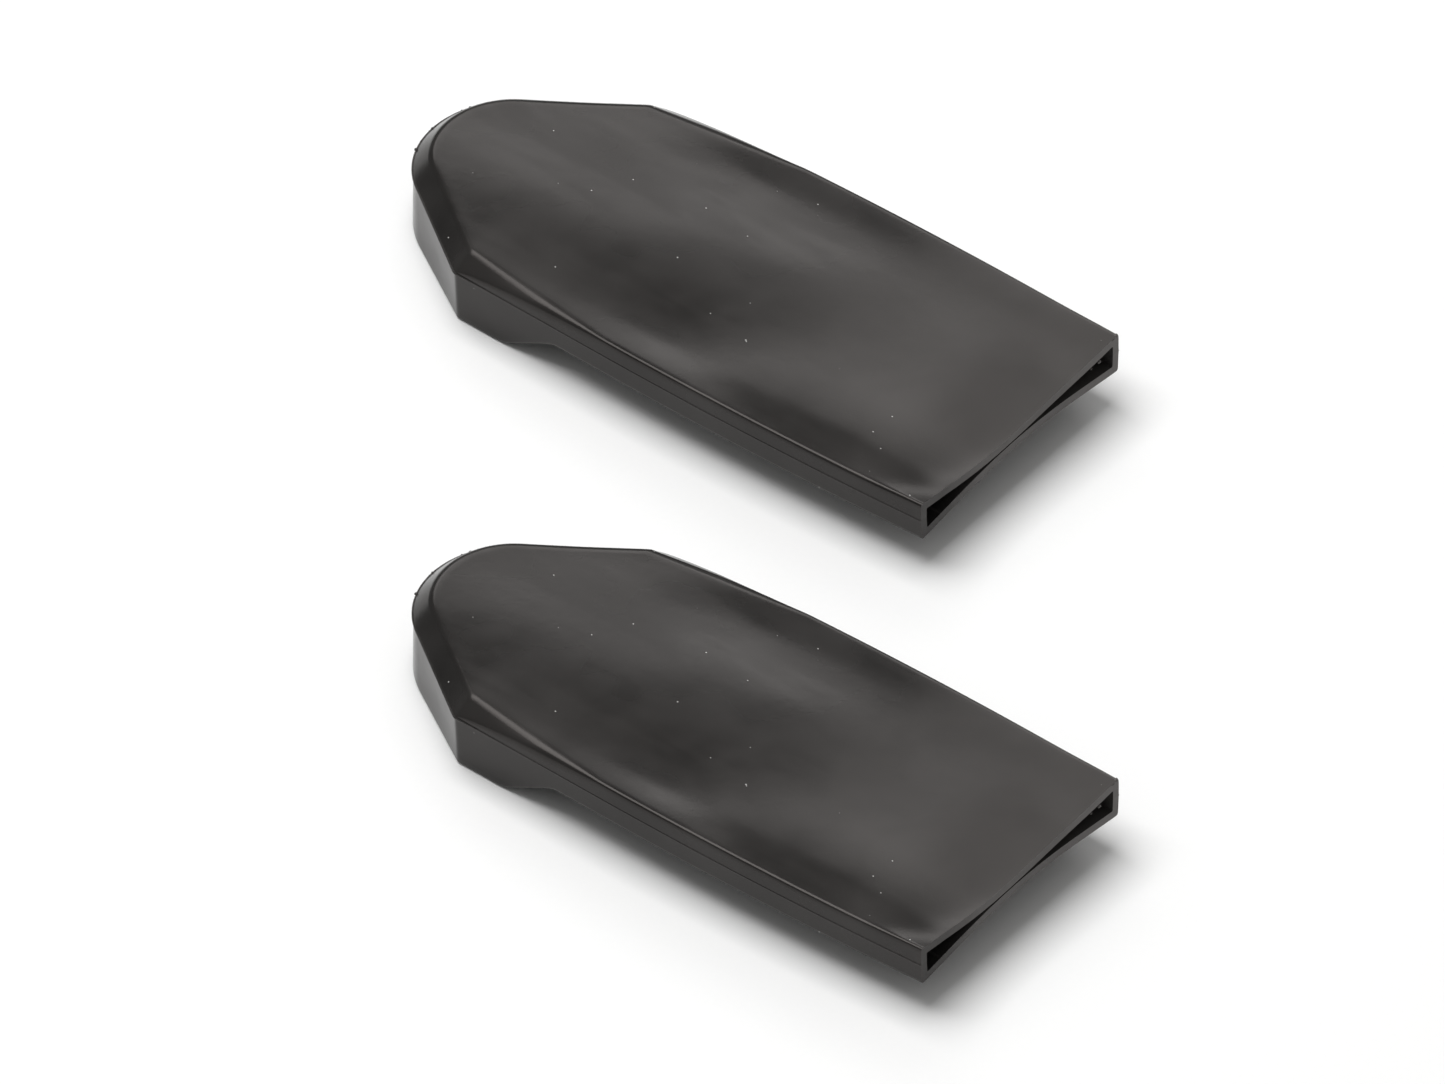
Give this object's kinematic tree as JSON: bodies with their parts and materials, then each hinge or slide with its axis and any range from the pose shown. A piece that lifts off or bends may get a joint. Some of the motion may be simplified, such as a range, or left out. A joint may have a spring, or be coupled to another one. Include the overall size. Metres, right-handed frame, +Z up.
{
  "type": "skate blade guards",
  "caption": "Pair of flat black rubber blade guards, moulded in one piece, with a deep faceted nose and an open mouth.",
  "frame": {"origin": "on the floor, under the middle of the pair", "axes": "+X from the closed noses to the open mouths, +Y from the near guard to the far guard, +Z up"},
  "size_m": [0.205, 0.1518, 0.0148],
  "materials": {
    "rubber": "semi-gloss moulded"
  },
  "bodies": {
    "far": {"far_guard": "rubber"},
    "near": {"near_guard": "rubber"}
  },
  "joints": [
    {"name": "near_lift", "type": "slide", "parent": "far", "child": "near", "axis": [0, 0, 1], "range_m": [0, 0.06]}
  ]
}
